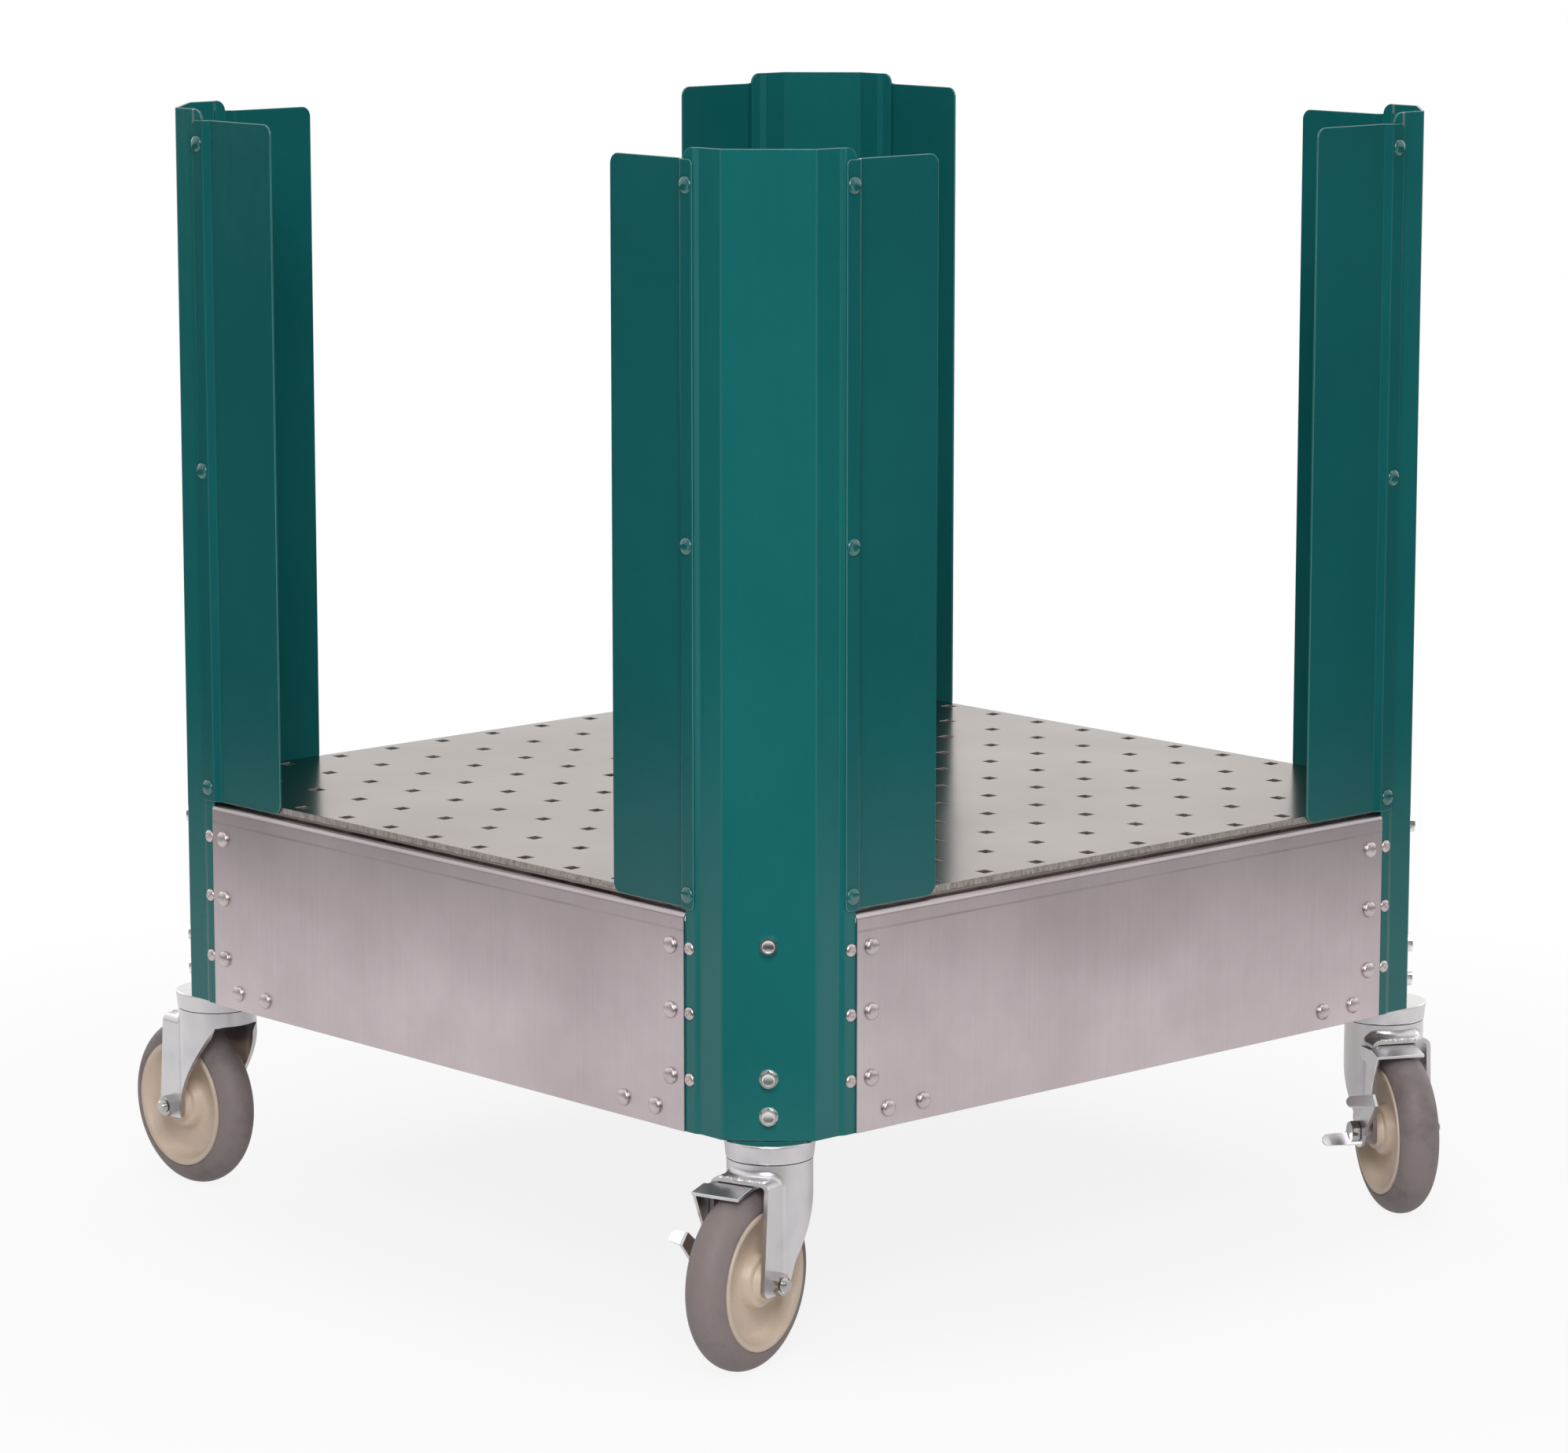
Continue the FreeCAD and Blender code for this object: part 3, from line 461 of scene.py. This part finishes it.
def rounded(obj, width, steps, angle, edge_slot=-1):
    """Sharp edges of a piece rounded off."""
    alone(obj)
    mod = obj.modifiers.new("rounding", "BEVEL")
    mod.width = width
    mod.segments = steps
    mod.limit_method = "ANGLE"
    mod.angle_limit = math.radians(angle)
    mod.material = edge_slot
    bpy.ops.object.modifier_apply(modifier="rounding")


def smooth(obj, angle):
    """Smooth shading that breaks at edges sharper than the angle."""
    alone(obj)
    bpy.ops.object.shade_smooth_by_angle(angle=math.radians(angle))
    return obj


def flattened(obj, angle):
    """Smooth shading in which the broad faces stay flat."""
    smooth(obj, angle)
    mod = obj.modifiers.new("flat_faces", "WEIGHTED_NORMAL")
    mod.keep_sharp = True
    mod.weight = 100
    bpy.ops.object.modifier_apply(modifier="flat_faces")
    return obj


def put(obj, matrix):
    """Sets a piece in its place and fixes the place in its mesh."""
    alone(obj)
    obj.matrix_world = matrix
    bpy.ops.object.transform_apply(location=True, rotation=True, scale=True)
    return obj


def as_one(first, others):
    """Pieces joined to the first of them."""
    alone(first)
    for one in others:
        one.select_set(True)
    bpy.ops.object.join()
    return first


def one_copy(obj, name, matrix):
    """The piece copied to one place, the pattern kept."""
    alone(obj)
    bpy.ops.object.duplicate()
    made = put(bpy.context.object, matrix)
    made.name = name
    return made


def copies(obj, name, matrices):
    """The piece copied to each place, all as one object, the pattern removed."""
    made = [one_copy(obj, name, matrix) for matrix in matrices]
    bpy.data.objects.remove(obj)
    return as_one(made[0], made[1:])


def finished(obj, node, *mats):
    """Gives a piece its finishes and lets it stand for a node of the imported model."""
    obj.data.materials.clear()
    for mat in mats:
        obj.data.materials.append(mat)
    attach(obj, body_of_node[node])
    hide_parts(node)


def dressed(node, rounding, mat, edge_mat, steps=2):
    """A copy of a sheet-metal node with its loose triangles joined and its cut edges rounded."""
    alone(nodes[node])
    bpy.ops.object.duplicate()
    obj = bpy.context.object
    obj.name = node + "_dressed"
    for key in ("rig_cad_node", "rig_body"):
        if key in obj:
            del obj[key]
    editing("FACE")
    bpy.ops.mesh.remove_doubles(threshold=MERGE)
    bpy.ops.mesh.dissolve_limited(angle_limit=math.radians(FLAT_ANGLE))
    bpy.ops.object.mode_set(mode="OBJECT")
    finished(obj, node, mat, edge_mat)
    for face in obj.data.polygons:
        face.material_index = 0
    rounded(obj, rounding, steps, SHEET_ANGLE, edge_slot=1)
    return flattened(obj, SHEET_ANGLE)


# Places

def turned(degrees):
    """A turn about the upright axis."""
    return Matrix.Rotation(math.radians(degrees), 4, "Z")


def facing(across, up, out):
    """A turn that takes X, Y and Z to these three directions."""
    return Matrix((across, up, out)).transposed().to_4x4()


def side_place(corner, side, run, inset, height):
    """Outward-facing place on a panel's or flange's face beside a corner."""
    along = Vector((-1, side, 0)) / math.sqrt(2)
    out = Vector((1, side, 0)) / math.sqrt(2)
    spot = Vector((CORNER_DIAGONAL, 0, BASE_Z + height)) + along * run - out * inset
    return turned(CORNERS[corner]) @ Matrix.Translation(spot) @ facing(UP.cross(out), UP, out)


def face_place(corner, height):
    """Outward-facing place on a post's centre face."""
    spot = (POST_FACE, 0, BASE_Z + height)
    return turned(CORNERS[corner]) @ Matrix.Translation(spot) @ facing((0, 1, 0), UP, (1, 0, 0))


def caster_place(corner):
    """On a caster's swivel axis at the base's foot, with X the way the wheel trails."""
    side = 1 if "right" in corner else -1
    end = 1 if "rear" in corner else -1
    return Matrix.Translation((side * SWIVEL, end * SWIVEL, BASE_Z)) @ turned(TRAIL_ANGLES[corner])


def fork_place(corner, ahead, across, drop):
    """A spot on a caster's fork, with Z across the fork towards the axle's nut."""
    spot = Matrix.Translation((ahead, across, -drop))
    return caster_place(corner) @ spot @ facing((1, 0, 0), (0, 0, -1), (0, 1, 0))


def axle_place(corner):
    """On the axle at the wheel's middle."""
    return fork_place(corner, TRAIL, 0, AXLE_DROP)


# Rivets

def rivet_head(name, radius, rise, dimple):
    """Domed rivet head on a thin skirt, with a dimple in its middle where it has one."""
    skirt = 0.16
    dome = 0.84
    fullness = 0.8
    steps = 7
    profile = [(radius, 0.0), (radius, rise * skirt)]
    for k in range(1, steps):
        lean = math.radians(90 * k / steps)
        profile.append((radius * math.cos(lean) ** fullness, rise * (skirt + dome * math.sin(lean))))
    if dimple > 0:
        profile += [(radius * 0.20, rise - dimple * 0.7), (radius * 0.10, rise - dimple)]
    return smooth(pulled_rings(name, profile, sides=20, cap_last=True), 60)


def rivet_group(node, radius, rise, dimple, inset, spots, mat):
    """Rivet heads at the same spots on both sides of every corner."""
    head = rivet_head(node + "_pattern", radius, rise, dimple)
    places = [side_place(c, s, run, inset, h) for c in CORNERS for s in (1, -1) for run, h in spots]
    made = copies(head, node + "_heads", places)
    finished(made, node, mat)


def all_rivets():
    """Small bare rivets in the post flanges, large ones in the panel ends and painted ones in the wings."""
    wing_foot = PANEL_HEIGHT + WING_GAP
    post_spots = [(POST_RIVET_RUN, height) for height in SIDE_RIVET_HEIGHTS]
    panel_spots = [(PANEL_RIVET_RUN, height) for height in SIDE_RIVET_HEIGHTS]
    panel_spots += [(run, FOOT_RIVET_HEIGHT) for run in FOOT_RIVET_RUNS]
    wing_spots = [(WING_RIVET_RUN, wing_foot + height) for height in WING_RIVET_HEIGHTS]
    rivet_group("post_rivets", radius=0.0047, rise=0.0026, dimple=0.0005, inset=PANEL_SHEET,
                spots=post_spots, mat=RIVET)
    rivet_group("panel_rivets", radius=0.0060, rise=0.0034, dimple=0.0, inset=0.0,
                spots=panel_spots, mat=RIVET)
    rivet_group("wing_rivets", radius=0.0059, rise=0.0024, dimple=0.0, inset=0.0,
                spots=wing_spots, mat=PAINT_RIVET)


# Bolts on the centre faces

def hex_head(name, flats, rise, flange, dish):
    """Hex head, chamfered round its top, with a round dish in it and a flange under it where it has one."""
    corner = flats / math.sqrt(3)
    wall = 0.84
    chamfer = 0.16
    top_steps = ((0.94, 0.0), (0.80, 0.0), (0.88, dish * 0.8), (0.70, dish * 0.2))
    obj = ring(name, 6, corner)
    bpy.ops.mesh.subdivide(number_cuts=3)
    pulled_up(rise * wall)
    pulled_up(rise * chamfer)
    bpy.ops.transform.tosphere(value=1.0, center_override=(0, 0, rise))
    for share, drop in top_steps:
        pulled_up(-drop)
        widened(share, 0)
    bpy.ops.mesh.edge_face_add()
    closed_up()
    if flange > 0:
        profile = [(flange, 0.0), (flange, 0.0010), (flange * 0.96, 0.0014), (corner * 0.8, 0.0015)]
        as_one(obj, [pulled_rings(name + "_flange", profile, sides=36)])
    return smooth(obj, 30)


def all_bolts():
    """Two flanged bolts low on each post's centre face and a plain one near the deck."""
    low = hex_head("flanged_bolt", flats=0.0108, rise=0.0053, flange=0.0066, dish=0.0010)
    top = hex_head("plain_bolt", flats=0.0111, rise=0.0053, flange=0.0, dish=0.0016)
    low_places = [face_place(corner, height) for corner in CORNERS for height in LOW_BOLT_HEIGHTS]
    top_places = [face_place(corner, TOP_BOLT_HEIGHT) for corner in CORNERS]
    flanged = copies(low, "low_bolt_heads", low_places)
    plain = copies(top, "top_bolt_heads", top_places)
    # The bolt heads take the near-white zinc: a painted highlight.
    finished(as_one(flanged, [plain]), "post_bolts", ZINC_EDGE_PAINTED_HIGHLIGHT)


# Deck plate

def deck_plate():
    """Punched plate: a grid of cells, each with its square hole, trimmed to the deck's outline."""
    bpy.ops.object.select_all(action="DESELECT")
    bpy.ops.mesh.primitive_grid_add(x_subdivisions=DECK_ROWS, y_subdivisions=DECK_ROWS,
                                    size=DECK_PITCH * DECK_ROWS, location=(0, 0, DECK_TOP))
    obj = bpy.context.object
    obj.name = "punched_deck"
    alone(obj)
    bpy.ops.object.transform_apply(location=True, rotation=True, scale=True)
    far = DECK_PITCH * (DECK_ROWS - 1.5) / 2
    for face in obj.data.polygons:
        in_corner = abs(face.center.x) > far and abs(face.center.y) > far
        face.select = not in_corner
    bpy.ops.object.mode_set(mode="EDIT")
    bpy.ops.mesh.select_mode(type="FACE")
    bpy.ops.mesh.inset(thickness=(DECK_PITCH - DECK_HOLE) / 2, use_individual=True)
    bpy.ops.mesh.delete(type="FACE")
    clip = POST_FACE - POST_SHEET - DECK_CORNER_GAP
    cuts = [(out, DECK_HALF) for out in ((1, 0, 0), (-1, 0, 0), (0, 1, 0), (0, -1, 0))]
    for degrees in (45, 135, 225, 315):
        turn = math.radians(degrees)
        cuts.append(((math.cos(turn), math.sin(turn), 0), clip))
    for out, reach in cuts:
        bpy.ops.mesh.select_all(action="SELECT")
        bpy.ops.mesh.bisect(plane_co=Vector(out) * reach, plane_no=out, clear_outer=True)
    bpy.ops.object.mode_set(mode="OBJECT")
    finished(obj, "deck_plate", DECK_WITH_PAINTED_REFLECTION, DECK_EDGE)
    alone(obj)
    mod = obj.modifiers.new("thickness", "SOLIDIFY")
    mod.thickness = DECK_THICK
    mod.offset = -1
    mod.material_offset_rim = 1
    bpy.ops.object.modifier_apply(modifier="thickness")
    rounded(obj, 0.00035, 2, DECK_ANGLE)
    flattened(obj, DECK_ANGLE)


# Wheels

def tyre_ring():
    """Round tyre with a shallow seat against the core."""
    steps = 22
    spread = math.asin(TYRE_HALF / TYRE_CROWN)
    profile = [(radius, -height) for radius, height in TYRE_SEAT]
    for k in range(steps + 1):
        lean = spread * (2 * k / steps - 1)
        profile.append((TYRE_MIDDLE + TYRE_CROWN * math.cos(lean), TYRE_CROWN * math.sin(lean)))
    profile += TYRE_SEAT[::-1] + profile[:1]
    return smooth(pulled_rings("tyre_pattern", profile, WHEEL_SIDES), 50)


def core_disc():
    """Moulded wheel: raised lip, dished web and a hub in two steps."""
    profile = CORE_HALF + [(radius, -height) for radius, height in reversed(CORE_HALF)] + CORE_HALF[:1]
    return smooth(pulled_rings("core_pattern", profile, WHEEL_SIDES), 45)


def all_wheels():
    """A tyre and a core on each axle."""
    tyre = tyre_ring()
    core = core_disc()
    for corner in CORNERS:
        place = axle_place(corner)
        finished(one_copy(tyre, corner + "_tread", place), corner + "_tyre", TYRE)
        finished(one_copy(core, corner + "_core", place), corner + "_wheel", CORE)
    bpy.data.objects.remove(tyre)
    bpy.data.objects.remove(core)


# Axle bolts with lock nuts

def threaded_end(name, radius, start, end, pitch):
    """Cut thread drawn as close rings, chamfered at its end."""
    root = 0.86
    tip = 0.8
    tip_rise = 0.0004
    profile = [(radius, start)]
    for k in range(int((end - start) / pitch)):
        low = start + k * pitch
        profile += [(radius * root, low + pitch * 0.5), (radius, low + pitch)]
    profile.append((radius * tip, end + tip_rise))
    return smooth(pulled_rings(name, profile, sides=32, cap_last=True), 30)


def axle_set(head_at):
    """Bolt head, shank, nut and the thread beyond it."""
    shank_end = FORK_LEG + 0.001
    thread_start = FORK_LEG + NUT_RISE * 0.8
    thread_end = FORK_LEG + NUT_RISE + THREAD_PAST_NUT
    head = hex_head("axle_head", AXLE_FLATS, AXLE_HEAD_RISE, 0.0, AXLE_DISH)
    put(head, Matrix.Translation((0, 0, -head_at)) @ Matrix.Rotation(math.pi, 4, "X"))
    shank = pulled_rings("axle_shank", [(AXLE_RADIUS, -head_at), (AXLE_RADIUS, shank_end)], sides=32,
                         cap_first=True, cap_last=True)
    nut = hex_head("axle_nut", AXLE_FLATS, NUT_RISE, 0.0, AXLE_DISH)
    put(nut, Matrix.Translation((0, 0, FORK_LEG)))
    thread = threaded_end("axle_thread", THREAD_RADIUS, thread_start, thread_end, THREAD_PITCH)
    return as_one(head, (shank, nut, thread))


def all_axles():
    """An axle bolt through each fork, with its head outside the brake's arm where there is one."""
    for corner in CORNERS:
        made = axle_set(BRAKE_ARM if corner in BRAKED else FORK_LEG)
        put(made, axle_place(corner))
        made.name = corner + "_axle_bolt"
        finished(made, corner + "_axle", NUT_PAINTED_SHADE)


# Sheet-metal pieces with rounded cut edges

def polished_top(cap):
    """Polished finish on a swivel cap's level top."""
    cap.data.materials.append(POLISHED)
    for face in cap.data.polygons:
        if face.normal.z > 0.9:
            face.material_index = 2


def all_sheets():
    """Posts, wings, panels, forks, brakes and swivel caps."""
    for node in nodes:
        if node.endswith("_post"):
            dressed(node, 0.0005, PAINT, PAINT_EDGE_PAINTED_HIGHLIGHT)
        elif node.endswith("_wing"):
            dressed(node, 0.0005, PAINT_WING_WITH_PAINTED_SHADE, PAINT_EDGE_PAINTED_HIGHLIGHT)
        elif node.endswith("_panel"):
            dressed(node, 0.0004, PANEL, PANEL)
        elif node.endswith(("_fork", "_brake_lever", "_brake_shoe")):
            dressed(node, 0.0005, ZINC, ZINC_EDGE_PAINTED_HIGHLIGHT)
        elif node.endswith("_caster_head"):
            polished_top(dressed(node, 0.0007, ZINC, ZINC_EDGE_PAINTED_HIGHLIGHT, steps=3))


def torn_edges():
    """Ragged bead along the rear edge of each fork's shelf, where the blank was cut off."""
    length = 0.034
    rings = 34
    end_radius = 0.0006
    radius = 0.0015
    ripple = 0.0002
    shelf_edge = 0.0376
    shelf_drop = 0.0232
    for number, corner in enumerate(CORNERS):
        profile = [(end_radius, 0.0)]
        for k in range(1, rings):
            swell = math.sin(k * 2.1 + number) + math.sin(k * 0.9 + 2 * number)
            profile.append((radius + ripple * swell, length * k / rings))
        profile.append((end_radius, length))
        bead = pulled_rings("bead", profile, sides=8, cap_first=True, cap_last=True)
        editing("VERT")
        bpy.ops.transform.vertex_random(offset=0.0003, seed=number + 3)
        bpy.ops.object.mode_set(mode="OBJECT")
        put(smooth(bead, 40), fork_place(corner, shelf_edge, -length / 2, shelf_drop))
        bead.name = corner + "_torn_edge"
        bead.data.materials.append(SHEARED_WITH_PAINTED_HIGHLIGHT)
        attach(bead, corner + "_caster")


def plain_nodes():
    """Nodes that stay as packed get their finish."""
    for node, obj in nodes.items():
        obj.data.materials.clear()
        obj.data.materials.append(FINISH[slot_of_node[node]])


# Studio

def background_rays(tree):
    """One where a ray sees the surround straight, and one where it sees it mirrored or through glass."""
    path = tree.nodes.new("ShaderNodeLightPath").outputs
    mirrored = counted(tree, "MAXIMUM", path["Is Glossy Ray"], path["Is Transmission Ray"])
    return path["Is Camera Ray"], mirrored


def distance_along(tree, place, direction):
    """How far a place lies in a direction."""
    node = tree.nodes.new("ShaderNodeVectorMath")
    node.operation = "DOT_PRODUCT"
    node.inputs[1].default_value = direction
    tree.links.new(place, node.inputs[0])
    return node.outputs["Value"]


def distance_off(tree, place):
    """How far a place lies from the middle."""
    node = tree.nodes.new("ShaderNodeVectorMath")
    node.operation = "LENGTH"
    tree.links.new(place, node.inputs[0])
    return node.outputs["Value"]


def blended(tree, share, first, second, output):
    """Two shaders blended by a share and led to the output."""
    node = tree.nodes.new("ShaderNodeMixShader")
    tree.links.new(share, node.inputs["Fac"])
    tree.links.new(first, node.inputs[1])
    tree.links.new(second, node.inputs[2])
    tree.links.new(node.outputs["Shader"], output.inputs["Surface"])


def floor_glow(tree, place, reach, straight):
    """White where it is seen straight, and bands of light and dark where metal mirrors it."""
    front_corner = (0.737, -0.676, 0)
    light_strips = ((-0.087, -0.996, 0), (0.990, 0.139, 0))
    ahead = distance_along(tree, place, front_corner)
    near = counted(tree, "MULTIPLY", between(tree, reach, 1.0, 0.06, start=1.3, end=2.6),
                   between(tree, ahead, 1.0, 0.05, start=0.8, end=1.3))
    lit = counted(tree, "MAXIMUM", near, between(tree, ahead, 0.0, 1.0, start=-2.5, end=-4.0))
    for strip in light_strips:
        share = counted(tree, "DIVIDE", distance_along(tree, place, strip), reach)
        lit = counted(tree, "MAXIMUM", lit, between(tree, share, 0.0, 0.8, start=0.94, end=0.985))
    white = tree.nodes.new("ShaderNodeEmission")
    tree.links.new(counted(tree, "MAXIMUM", straight, lit), white.inputs["Strength"])
    return white.outputs["Emission"]


def studio_floor():
    """Pale floor that keeps the part's shadow and fades to white around it."""
    bpy.ops.object.select_all(action="DESELECT")
    bpy.ops.mesh.primitive_plane_add(size=FLOOR_SIZE, location=(0, 0, 0))
    floor = bpy.context.object
    floor.name = "studio_floor"
    mat, tree, shader, place = new_finish("pale_floor")
    pale = ramp(tree, cloud(tree, place, scale=1.5, detail=2.0),
                [(0.3, (0.86, 0.86, 0.86)), (0.7, (0.88, 0.88, 0.88))])
    fed(tree, shader, "Base Color", pale)
    shader.inputs["Roughness"].default_value = 0.9
    shader.inputs["Specular IOR Level"].default_value = 0.1
    reach = distance_off(tree, place)
    straight, mirrored = background_rays(tree)
    glow = floor_glow(tree, place, reach, straight)
    seen = counted(tree, "MULTIPLY", straight, between(tree, reach, 0.86, 1.0, start=0.3, end=1.2))
    in_metal = counted(tree, "MULTIPLY", mirrored, between(tree, reach, 0.5, 1.0, start=0.3, end=1.0))
    fade = counted(tree, "ADD", seen, in_metal)
    blended(tree, fade, shader.outputs["BSDF"], glow, tree.nodes["Material Output"])
    floor.data.materials.append(mat)


def studio_surround():
    """Soft light from all round, seen as white, and mirrored darker from the front and below."""
    bright_side = (-0.62, 0.57, 0.54)
    white = (1.0, 1.0, 1.0)
    stops = [(0.0, (0.30, 0.30, 0.31)), (0.36, (0.36, 0.36, 0.37)), (0.62, white), (1.0, white)]
    world = bpy.data.worlds.new("studio_surround")
    scene.world = world
    world.use_nodes = True
    tree = world.node_tree
    tree.nodes.clear()
    light = tree.nodes.new("ShaderNodeBackground")
    show = tree.nodes.new("ShaderNodeBackground")
    light.inputs["Strength"].default_value = 0.14
    show.inputs["Strength"].default_value = 1.0
    straight, mirrored = background_rays(tree)
    blended(tree, counted(tree, "MAXIMUM", straight, mirrored), light.outputs["Background"],
            show.outputs["Background"], tree.nodes.new("ShaderNodeOutputWorld"))
    direction = tree.nodes.new("ShaderNodeTexCoord").outputs["Generated"]
    towards = between(tree, distance_along(tree, direction, bright_side), 0.0, 1.0, start=-1.0, end=1.0)
    shade = ramp(tree, towards, stops)
    tree.links.new(mixed(tree, straight, shade, white), show.inputs["Color"])


def studio_lamps():
    """Square soft lamps turned to the part."""
    for name, spot, size, power in LAMPS:
        data = bpy.data.lights.new(name, "AREA")
        data.shape = "SQUARE"
        data.size = size
        data.energy = power
        lamp = bpy.data.objects.new(name, data)
        scene.collection.objects.link(lamp)
        lamp.location = spot
        lamp.rotation_euler = (LAMP_AIM - Vector(spot)).to_track_quat("-Z", "Y").to_euler()


def camera():
    """The photograph's viewing angle."""
    data = bpy.data.cameras.new("photo_camera")
    data.sensor_fit = "HORIZONTAL"
    data.sensor_width = CAMERA_SENSOR
    data.lens = CAMERA_LENS
    cam = bpy.data.objects.new("photo_camera", data)
    scene.collection.objects.link(cam)
    cam.location = CAMERA_SPOT
    cam.rotation_euler = (CAMERA_AIM - CAMERA_SPOT).to_track_quat("-Z", "Y").to_euler()
    scene.camera = cam


camera()
plain_nodes()
all_sheets()
torn_edges()
deck_plate()
all_rivets()
all_bolts()
all_wheels()
all_axles()
studio_floor()
studio_surround()
studio_lamps()
scene.view_settings.view_transform = "Standard"
